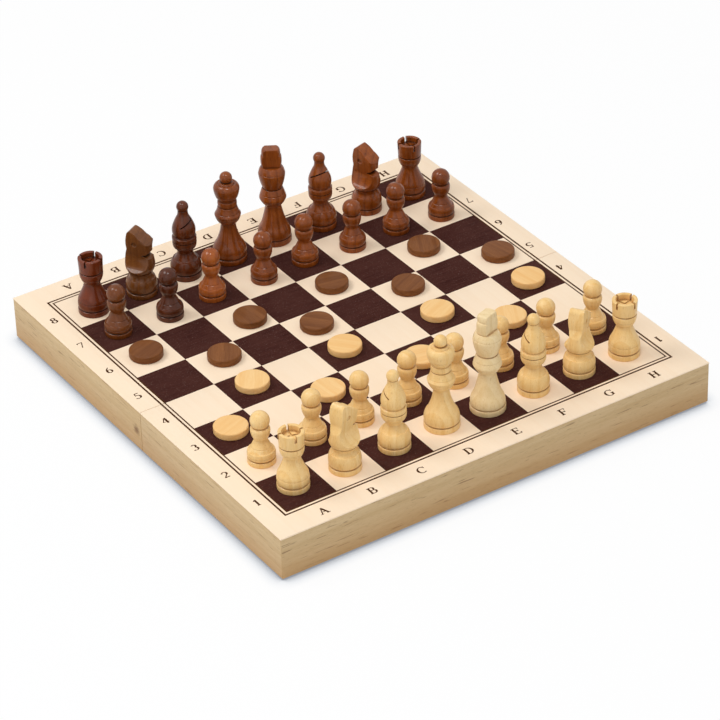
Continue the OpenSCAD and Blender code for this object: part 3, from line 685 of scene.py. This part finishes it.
# Side view of a knight's head, up its back, over the poll and down its face. Each point
# is (x, distance below the top, swell of the way there), and +X is the way that it faces.
NAPE_DROP = 25
HEAD = [(-8.0, 16.5, 0.5), (-7.2, 4.8, -0.5), (-4.4, 0.9, -0.8), (3.2, 5.6, -0.7), (4.0, 6.2, 0),
        (8.0, 8.8, -0.3), (8.5, 9.2, 0), (10.6, 13.0, -0.4), (9.4, 17.8, -0.5), (2.8, 20.8, -0.4)]
CHEST_DROP, CHEST_SWELL = 24, -1


def head_points(r, h, flat_z):
    """The side view of a head that is h high, on a blank of radius r."""
    points = [(-r, flat_z), (-r, h - NAPE_DROP)]
    for x, drop, swell in HEAD:
        points += way(points[-1], (x, h - drop), swell)
    return points + bow(points[-1], (r, h - CHEST_DROP), CHEST_SWELL) + [(r, flat_z)]


def cheek_points(r, h, flat_z, neck_t, head_t, runout_h):
    """Front view of the head: the sawn faces hollow at the neck and then run out."""
    n, t = neck_t / 2, head_t / 2
    half = [(r, flat_z)] + bow((r, flat_z), (n, flat_z + runout_h), -2.1)
    half += bow((n, flat_z + runout_h), (t, h - 10), 0.1) + [(t, h - 6), (t - 2 * FLANK_STEP, h + 1)]
    return half + [(-x, z) for x, z in reversed(half)]


def eye_mesh(side, h, thick):
    """A short round bar across one cheek, which leaves the eye when it is cut out."""
    radius, depth, forward, drop = 1.9, 2, -1, 11.5
    place = Matrix.Translation((forward * MM, side * thick / 2 * MM, (h - drop) * MM))
    bm = bmesh.new()
    bmesh.ops.create_cone(bm, cap_ends=True, segments=40, radius1=radius * MM, radius2=radius * MM,
                          depth=depth * MM, matrix=place @ Matrix.Rotation(math.pi / 2, 4, "X"))
    return plain_mesh(bm, "eye")


def knight_mesh():
    r, cove_r, blank, h, flat_z = 11.6, 8.3, 11.1, 55.5, 22.0
    foot_h, base_h, cove_h = 3.9, 9.0, 6.2
    neck_t, head_t, runout_h = 8.4, 11.6, 11.0
    legs = foot(r, foot_h, base_h, r - 4 * FLANK_STEP, 0.7) + [
        (r - 5 * FLANK_STEP - BASE_LEDGE / 2, 0, 0), (cove_r, cove_h * 0.5, -0.25),
        (cove_r + 4 * FLANK_STEP, cove_h * 0.45, -0.25), (cove_r + FLANK_STEP, cove_h * 0.05, 0),
        (cove_r + 5 * FLANK_STEP, FLANK_STEP, 0)]
    base = turned(r - FOOT_BEVEL, legs)
    rim, low = base[-1]
    # the turned blank that the head is sawn from, widest above the cove and at the head
    flank = [(0.0, low - 0.1), (rim, low - 0.1), (rim, low)]
    for x, z, swell in ((blank, low + 5.2, 0.35), (9.7, h - 18, 0.3), (10.9, h - 9, -0.3)):
        flank += bow(flank[-1], (x, z), swell)
    flank += [(10.9, h - 1), (0.0, h + 1)]
    wide = blank + 1
    side = prism_mesh(head_points(wide, h, flat_z), -wide, wide)
    front = prism_mesh(cheek_points(wide, h, flat_z, neck_t, head_t, runout_h), -wide, wide)
    front.transform(Matrix.Rotation(math.pi / 2, 4, "Z"))
    under = cut(lathe(flank, "blank"), box_mesh((-r, -r, low - 1), (r, r, flat_z)), "INTERSECT")
    head = cut(cut(lathe(flank, "blank"), side, "INTERSECT"), front, "INTERSECT")
    for cheek in (-1, 1):
        head = cut(head, eye_mesh(cheek, h, head_t))
    head = cut(head, under, "UNION")
    return joined([lathe(soften(base + [(0.0, low)]), "knight"), rounded(head, 0.22, 7)])


def draught_mesh():
    r, t, e = 12.5, 5.8, 1.1
    quarter = [math.pi / 16 * k for k in range(9)]
    points = [(0.0, 0.0), (r - e, 0.0)]
    points += [(r - e + e * math.sin(a), e - e * math.cos(a)) for a in quarter[1:]]
    points += [(r - e + e * math.cos(a), t - e + e * math.sin(a)) for a in quarter]
    return lathe(points + [(0.0, t)], "draught")


KINDS = {"pawn": pawn_mesh, "rook": rook_mesh, "bishop": bishop_mesh, "queen": queen_mesh,
         "king": king_mesh, "knight": knight_mesh, "draught": draught_mesh}

# Tones as (pale, deep): each set's usual one, and those of the men that differ from it.
DARK_TONE = (rgb(170, 88, 26), rgb(94, 40, 6))
LIGHT_TONE = (rgb(252, 222, 164), rgb(234, 184, 104))
RED = (rgb(142, 62, 20), rgb(84, 30, 6))
GREY_BROWN = (rgb(152, 94, 42), rgb(86, 44, 14))
MID_BROWN = (rgb(150, 84, 32), rgb(92, 44, 12))
VERY_DARK = (rgb(116, 54, 18), rgb(62, 24, 6))
ORANGE = (rgb(192, 108, 42), rgb(128, 58, 18))
PALE_TONE = (rgb(248, 226, 182), rgb(228, 196, 138))
MEN_TONES = {"dark": DARK_TONE, "light": LIGHT_TONE}
ODD_TONES = {"dark_rook_a8": RED, "dark_knight_b8": GREY_BROWN, "dark_pawn_a7": MID_BROWN,
             "dark_pawn_b7": VERY_DARK, "dark_bishop_c8": VERY_DARK, "dark_pawn_c7": ORANGE,
             "light_king_e1": PALE_TONE}
DRAUGHT_TONES = {"dark": (rgb(146, 92, 48), rgb(94, 50, 20)),
                 "light": (rgb(250, 214, 156), rgb(238, 184, 112))}
# The recess colours are painted shade in grooves and hollows, also standing for stain held there.
MEN_FINISH = {"dark": {"flecks": 0.6, "rough": 0.4, "coat": 0.45, "turning": 0.35, "mottled": 0.35,
                       "recess_stain_and_shade": rgb(30, 10, 4), "specular": 0.1},
              "light": {"flecks": 0.35, "rough": 0.42, "coat": 0.3, "turning": 0.35,
                        "speck": rgb(186, 130, 66), "recess_stain_and_shade": rgb(150, 90, 34), "specular": 0.15}}
DRAUGHT_FINISH = {"rings": 1.3, "flecks": 0.35, "rough": 0.5, "coat": 0.12, "mottled": 0.1,
                  "specular": 0.12}
SEED_STEP = 1.7


def stand_man(node, kind, turn, index, mesh):
    """A man or draught where the CAD has its own, turned about its axis."""
    low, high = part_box(node)
    side = node.split("_")[0]
    middle = ((low.x + high.x) / 2, (low.y + high.y) / 2, low.z)
    if kind == "draught":
        (pale, deep), grain, finish = DRAUGHT_TONES[side], "X", DRAUGHT_FINISH
    else:
        (pale, deep), grain, finish = ODD_TONES.get(node, MEN_TONES[side]), "Z", MEN_FINISH[side]
    obj = linked(node + "_wood", mesh.copy())
    obj.data.materials.clear()
    obj.data.materials.append(wood("wood_" + node, pale, deep, SEED_STEP * index, grain, **finish))
    obj.matrix_world = Matrix.Translation(middle) @ Matrix.Rotation(math.radians(turn), 4, "Z")
    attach(obj, node)
    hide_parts(node)


def make_men():
    meshes = {kind: make() for kind, make in KINDS.items()}
    index = 0
    for side, (back_rank, pawn_rank, draught_rank, step, back_turns) in SIDES.items():
        for f, letter in enumerate(FILES):
            men = ((BACK[f], back_rank, back_turns[f]), ("pawn", pawn_rank, PAWN_TURN_STEP * f),
                   ("draught", draught_rank + step * (f % 2),
                    DRAUGHT_TURN_STEP * f + DRAUGHT_TURN_START))
            for kind, rank, turn in men:
                index += 1
                stand_man(f"{side}_{kind}_{letter}{rank}", kind, turn, index, meshes[kind])


# ---- the playing field -----------------------------------------------------------

def face_sheet(half, mats):
    """The pale face of one leaf, with its squares and lines as parts of one surface."""
    near = half == "near"
    sign = HALVES[half]
    end = sign * FIELD_END
    seam = SEAM + SEAM_EASE
    gap, out = OUTER_LINE_GAP, OUTER_LINE_GAP + OUTER_LINE_W
    xs = [s * v for s in (-1, 1)
          for v in (FIELD + gap, FIELD + out, FIELD + INNER_LINE_W, HALF_W - FACE_EASE)]
    xs = sorted(xs + [-FIELD + k * SQUARE for k in range(9)])
    ys = [end + sign * v for v in (gap, out, INNER_LINE_W)] + [end - sign * k * SQUARE for k in range(4)]
    ys = sorted(ys + [sign * (HALF_D - FACE_EASE), sign * seam])
    bm = bmesh.new()
    grid = [[bm.verts.new((x * MM, y * MM, TOP * MM)) for x in xs] for y in ys]
    for j in range(len(ys) - 1):
        for i in range(len(xs) - 1):
            face = bm.faces.new((grid[j][i], grid[j][i + 1], grid[j + 1][i + 1], grid[j + 1][i]))
            x = (xs[i] + xs[i + 1]) / 2
            y = (ys[j] + ys[j + 1]) / 2
            over = max(abs(x) - FIELD, abs(y) - FIELD_END)
            if over < 0:
                file = int((x + FIELD) // SQUARE)
                rank = int((y + sign * SAW_KERF / 2 + FIELD) // SQUARE)
                face.material_index = 1 if (file + rank) % 2 == 0 else 0
            elif over < INNER_LINE_W or gap < over < out:
                face.material_index = 2
    # eased border, then the sheet's edge and its underside
    rim = [e for e in bm.edges if len(e.link_faces) == 1]
    for step_out, step_down in FACE_EDGE:
        new = bmesh.ops.extrude_edge_only(bm, edges=rim)["geom"]
        rim = [g for g in new if isinstance(g, bmesh.types.BMEdge)]
        for v in set(v for e in rim for v in e.verts):
            x, y = v.co.x / MM, v.co.y / MM
            if abs(abs(x) - HALF_W) < CLOSE:
                v.co.x = math.copysign(HALF_W - FACE_EASE + step_out, x) * MM
            if abs(y) <= CLOSE:
                v.co.y = sign * max(SEAM, seam - step_out) * MM
            elif abs(abs(y) - HALF_D) < CLOSE:
                v.co.y = sign * (HALF_D - FACE_EASE + step_out) * MM
            v.co.z = (TOP - step_down) * MM
    bmesh.ops.holes_fill(bm, edges=rim, sides=0)
    name = half + "_face"
    obj = new_object(name, mesh_of(bm, name), half + "_half")
    for m in mats:
        obj.data.materials.append(m)
    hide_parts("near_panel" if near else "far_panel")


def core_board(half, mat):
    """The board under the face, as the CAD's panel has it below the face sheet."""
    near = half == "near"
    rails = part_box("near_long_rails" if near else "far_long_rails")
    top = rails[1].z / MM
    y = sorted(HALVES[half] * v for v in (SEAM + CORE_INSET, HALF_D - CORE_INSET))
    x = HALF_W - CORE_INSET
    mesh = box_mesh((-x, y[0], top - CORE_T), (x, y[1], top))
    new_object(half + "_core", mesh, half + "_half", mat)


# Strokes of the characters beside the squares, in a cell of cap height 1. A bar is
# (x0, y0, x1, y1, width), and a band is (centre x, y, radius x, y, from, to degrees).
THIN, THICK, SERIF = 0.1, 0.2, 0.09
SERIF_HALF = 0.16
BAND_STEPS = 20
# how quickly a band grows from thin at its top to thick at its side
BAND_CONTRAST = 1.3


def bars(*strokes):
    return [("bar",) + s for s in strokes]


def bands(*strokes):
    return [("band",) + s for s in strokes]


def feet(y, *xs):
    """Serifs across the ends of stems at the given places."""
    return bars(*[(x - SERIF_HALF, y, x + SERIF_HALF, y, SERIF) for x in xs])


GLYPHS = {
    "A": bars((0.10, 0, 0.40, 0.98, THIN), (0.38, 1.0, 0.72, 0, THICK), (0.21, 0.34, 0.58, 0.34, THIN))
    + feet(0.02, 0.10, 0.73),
    "B": bars((0.2, 0, 0.2, 1, THICK), (0.04, 0.98, 0.42, 0.98, SERIF), (0.2, 0.53, 0.45, 0.53, THIN),
              (0.04, 0.02, 0.45, 0.02, SERIF))
    + bands((0.40, 0.755, 0.22, 0.225, -90, 90), (0.43, 0.275, 0.27, 0.255, -90, 90)),
    "C": bands((0.44, 0.5, 0.36, 0.48, 50, 312)) + bars((0.73, 0.70, 0.73, 0.97, THIN)),
    "D": bars((0.2, 0, 0.2, 1, THICK), (0.04, 0.98, 0.40, 0.98, SERIF), (0.04, 0.02, 0.40, 0.02, SERIF))
    + bands((0.38, 0.5, 0.38, 0.48, -90, 90)),
    "E": bars((0.2, 0, 0.2, 1, THICK), (0.04, 0.98, 0.68, 0.98, SERIF), (0.2, 0.52, 0.54, 0.52, THIN),
              (0.04, 0.02, 0.72, 0.02, SERIF), (0.66, 0.80, 0.66, 1, THIN),
              (0.54, 0.40, 0.54, 0.64, THIN), (0.70, 0, 0.70, 0.22, THIN)),
    "F": bars((0.2, 0, 0.2, 1, THICK), (0.04, 0.98, 0.68, 0.98, SERIF), (0.2, 0.50, 0.54, 0.50, THIN),
              (0.66, 0.78, 0.66, 1, THIN), (0.54, 0.38, 0.54, 0.62, THIN)) + feet(0.02, 0.2),
    "G": bands((0.44, 0.5, 0.36, 0.48, 50, 312))
    + bars((0.73, 0.72, 0.73, 0.97, THIN), (0.70, 0.06, 0.70, 0.44, THICK),
           (0.54, 0.44, 0.84, 0.44, SERIF)),
    "H": bars((0.2, 0, 0.2, 1, THICK), (0.72, 0, 0.72, 1, THICK), (0.2, 0.51, 0.72, 0.51, THIN))
    + feet(0.02, 0.2, 0.72) + feet(0.98, 0.2, 0.72),
    "1": bars((0.34, 0, 0.34, 1, THICK), (0.14, 0.80, 0.32, 0.96, THIN)) + feet(0.02, 0.34),
    "2": bands((0.34, 0.70, 0.22, 0.27, -42, 165)) + bars((0.52, 0.54, 0.14, 0.08, THIN + 0.02),
                                                          (0.10, 0.06, 0.60, 0.06, 0.12)),
    "3": bands((0.32, 0.74, 0.19, 0.23, -80, 150), (0.31, 0.27, 0.24, 0.26, -150, 88)),
    "4": bars((0.46, 0, 0.46, 1, THICK), (0.08, 0.28, 0.66, 0.28, 0.07), (0.08, 0.30, 0.42, 0.97, THIN)),
    "5": bars((0.16, 0.52, 0.20, 0.98, THIN), (0.18, 0.94, 0.56, 0.94, 0.11))
    + bands((0.30, 0.31, 0.26, 0.29, -150, 115)),
    "6": bands((0.34, 0.30, 0.22, 0.28, 0, 360), (0.52, 0.30, 0.40, 0.68, 98, 180)),
    "7": bars((0.10, 0.94, 0.60, 0.94, 0.11), (0.58, 0.92, 0.26, 0, 0.09),
              (0.11, 0.78, 0.11, 0.98, THIN)),
    "8": bands((0.34, 0.76, 0.18, 0.22, 0, 360), (0.34, 0.28, 0.23, 0.26, 0, 360)),
}


def stroke_outline(stroke):
    """Outer and inner edge of one stroke, as two rows of points."""
    if stroke[0] == "bar":
        x0, y0, x1, y1, w = stroke[1:]
        d = Vector((x1 - x0, y1 - y0)).normalized() * w / 2
        return ([(x0 - d.y, y0 + d.x), (x1 - d.y, y1 + d.x)],
                [(x0 + d.y, y0 - d.x), (x1 + d.y, y1 - d.x)])
    cx, cy, rx, ry, a0, a1 = stroke[1:]
    outer, inner = [], []
    for k in range(BAND_STEPS + 1):
        a = math.radians(a0 + (a1 - a0) * k / BAND_STEPS)
        w = THIN + (THICK - THIN) * abs(math.cos(a)) ** BAND_CONTRAST
        outer.append((cx + (rx + w / 2) * math.cos(a), cy + (ry + THIN / 2) * math.sin(a)))
        inner.append((cx + (rx - w / 2) * math.cos(a), cy + (ry - THIN / 2) * math.sin(a)))
    return outer, inner


def add_glyph(bm, text, at, upside_down):
    """One character as a thin raised film of ink, centred on a point of the face."""
    strokes = [stroke_outline(s) for s in GLYPHS[text]]
    xs = [p[0] for rows in strokes for row in rows for p in row]
    mid = ((min(xs) + max(xs)) / 2, 0.5)
    sign = -1 if upside_down else 1

    def place(x, y, z):
        return bm.verts.new(((at[0] + sign * (x - mid[0]) * GLYPH_STRETCH * GLYPH_H) * MM,
                             (at[1] + sign * (y - mid[1]) * GLYPH_H) * MM,
                             (TOP + z - PRINT_T / 2) * MM))

    for k, (outer, inner) in enumerate(strokes):
        low_out, low_in, top_out, top_in = [
            [place(x, y, z) for x, y in row]
            for z in (0.0, PRINT_T * (1 + PRINT_STEP * k)) for row in (outer, inner)]
        for i in range(len(outer) - 1):
            bm.faces.new((top_out[i], top_in[i], top_in[i + 1], top_out[i + 1]))
            bm.faces.new((low_out[i], low_out[i + 1], low_in[i + 1], low_in[i]))
            bm.faces.new((low_out[i], top_out[i], top_out[i + 1], low_out[i + 1]))
            bm.faces.new((low_in[i], low_in[i + 1], top_in[i + 1], top_in[i]))
        for i in (0, len(outer) - 1):
            bm.faces.new((low_out[i], low_in[i], top_in[i], top_out[i]))


def make_print(half, mat):
    """The letters and figures beside one leaf's squares. The far side's face the other way."""
    far = half == "far"
    first, last = GLYPH_Y[half]
    bm = bmesh.new()
    for f, letter in enumerate(FILES):
        add_glyph(bm, letter.upper(), ((f - 3.5) * SQUARE, first + (last - first) * f / 7), far)
    for k in range(4):
        rank = 8 - k if far else k + 1
        y = HALVES[half] * (FIELD_END - (k + 0.5) * SQUARE)
        for x in (LEFT_GLYPH_X, RIGHT_GLYPH_X):
            add_glyph(bm, str(rank), (x, y), x > 0)
    name = half + "_print"
    new_object(name, mesh_of(bm, name), half + "_half", mat)


RAIL_EASE = 0.35
RAIL_TONES = (rgb(220, 194, 150), rgb(192, 158, 108))
# low is a painted shade tint: the walls grow darker and warmer towards the bottom, fading out by 24 mm
# up.
RAIL_FINISH = {"rings": 0.55, "flecks": 0.35, "rough": 0.5, "low": (rgb(192, 142, 82), 3, 24),
               "speck": rgb(120, 88, 56)}
KNOT = ((-HALF_W, 7.0, 16.0), 5.0, rgb(110, 76, 42))


def make_case():
    pale = wood("face_veneer", rgb(254, 235, 210), rgb(249, 223, 192), 3.0, "Y", figure=0.6,
                flecks=0.05, rough=0.5, rings=0.5, specular=0.12)
    dark = printed("dark_squares", rgb(56, 27, 24), rgb(84, 51, 44), 0.0)
    line = printed("printed_lines", rgb(66, 38, 18), rgb(90, 58, 32), 2.0)
    long_wood = wood("rail_long_wood", *RAIL_TONES, 5.0, "X", streak=rgb(128, 92, 54), **RAIL_FINISH)
    side_wood = wood("rail_side_wood", *RAIL_TONES, 8.0, "Y", streak=rgb(140, 102, 62), knot=KNOT,
                     **RAIL_FINISH)
    core = wood("core_ply", rgb(226, 198, 156), rgb(204, 170, 122), 12.0, "X", flecks=0.1, rough=0.6)
    for half in HALVES:
        face_sheet(half, (pale, dark, line))
        core_board(half, core)
        make_print(half, line)
        dressed(half + "_long_rails", RAIL_EASE, long_wood)
        dressed(half + "_side_rails", RAIL_EASE, side_wood)


LEAF_EASE = 0.12
SCREW_EASE = 0.05


def make_hinges():
    brass = metal("hinge_metal", rgb(205, 168, 92), 0.32)
    steel = metal("pin_metal", rgb(190, 190, 188), 0.25)
    for part, ease, slot in (("_hinge_leaves", LEAF_EASE, "hinge_brass"),
                             ("_hinge_screws", SCREW_EASE, "screw_brass")):
        for half in HALVES:
            dressed(half + part, ease, brass)
    pins = frame["nodes"]["hinge_pins"]
    for slot in pins.material_slots:
        slot.material = steel


# ---- the stage -------------------------------------------------------------------

def make_camera():
    cam = bpy.data.cameras.new("camera")
    cam.lens = CAMERA_LENS
    cam.sensor_width = CAMERA_SENSOR
    cam.clip_end = CAMERA_CLIP_END_M
    obj = linked("camera", cam)
    place = Matrix.Translation([c * MM for c in CAMERA_AT])
    obj.matrix_world = (place @ Matrix.Rotation(-CAMERA_AZIMUTH, 4, "Z")
                        @ Matrix.Rotation(math.pi / 2 - CAMERA_ELEVATION, 4, "X")
                        @ Matrix.Rotation(CAMERA_ROLL, 4, "Z"))
    bpy.context.scene.camera = obj


def make_light(name, at, size, watts):
    data = bpy.data.lights.new(name, "AREA")
    data.shape = "RECTANGLE"
    data.size, data.size_y = size
    data.energy = watts
    obj = linked(name, data)
    obj.location = at
    obj.rotation_euler = (Vector(LAMP_AIM) - Vector(at)).to_track_quat("-Z", "Y").to_euler()


def make_floor():
    m = Nodes("floor")
    lit = m.add("ShaderNodeBsdfDiffuse", {"Color": FLOOR_COLOUR})
    # painted shadow: the glow darkens where ambient occlusion finds the object close by
    near = m.add("ShaderNodeAmbientOcclusion", {"Distance": FLOOR_SHADE_REACH_M}, samples=8)
    painted_floor_shadow = m.ramp(near.outputs["AO"], FLOOR_SHADE)
    glow = m.add("ShaderNodeEmission", {"Color": painted_floor_shadow, "Strength": 1.0})
    path = m.add("ShaderNodeLightPath")
    seen = m.math("MAXIMUM", path.outputs["Is Camera Ray"], path.outputs["Is Glossy Ray"])
    share = m.math("MULTIPLY", seen, FLOOR_GLOW_SHARE)
    mixed = m.add("ShaderNodeMixShader", {0: share, 1: lit.outputs[0], 2: glow.outputs[0]})
    m.tree.nodes.remove(m.shader)
    m.put(m.tree.nodes["Material Output"].inputs[0], mixed.outputs[0])
    bm = bmesh.new()
    bmesh.ops.create_grid(bm, x_segments=1, y_segments=1, size=FLOOR_HALF_M)
    floor = linked("floor", plain_mesh(bm, "floor"))
    floor.location.z = -FLOOR_DROP_M
    floor.data.materials.append(m.mat)


def make_world():
    """White where it is seen, and dimmer where it lights the object."""
    world = bpy.data.worlds.new("world")
    bpy.context.scene.world = world
    world.use_nodes = True
    tree = world.node_tree
    sky = tree.nodes["Background"]
    sky.inputs["Color"].default_value = WORLD_COLOUR
    path = tree.nodes.new("ShaderNodeLightPath")
    seen = tree.nodes.new("ShaderNodeMath")
    seen.operation = "MAXIMUM"
    strength = tree.nodes.new("ShaderNodeMapRange")
    strength.inputs["To Min"].default_value = WORLD_LIGHT
    strength.inputs["To Max"].default_value = WORLD_SEEN
    tree.links.new(path.outputs["Is Camera Ray"], seen.inputs[0])
    tree.links.new(path.outputs["Is Glossy Ray"], seen.inputs[1])
    tree.links.new(seen.outputs[0], strength.inputs["Value"])
    tree.links.new(strength.outputs["Result"], sky.inputs["Strength"])


def make_stage():
    make_floor()
    make_world()
    for lamp in LAMPS:
        make_light(*lamp)


make_camera()
make_stage()
make_case()
make_hinges()
make_men()

bpy.context.scene.view_settings.view_transform = "Standard"
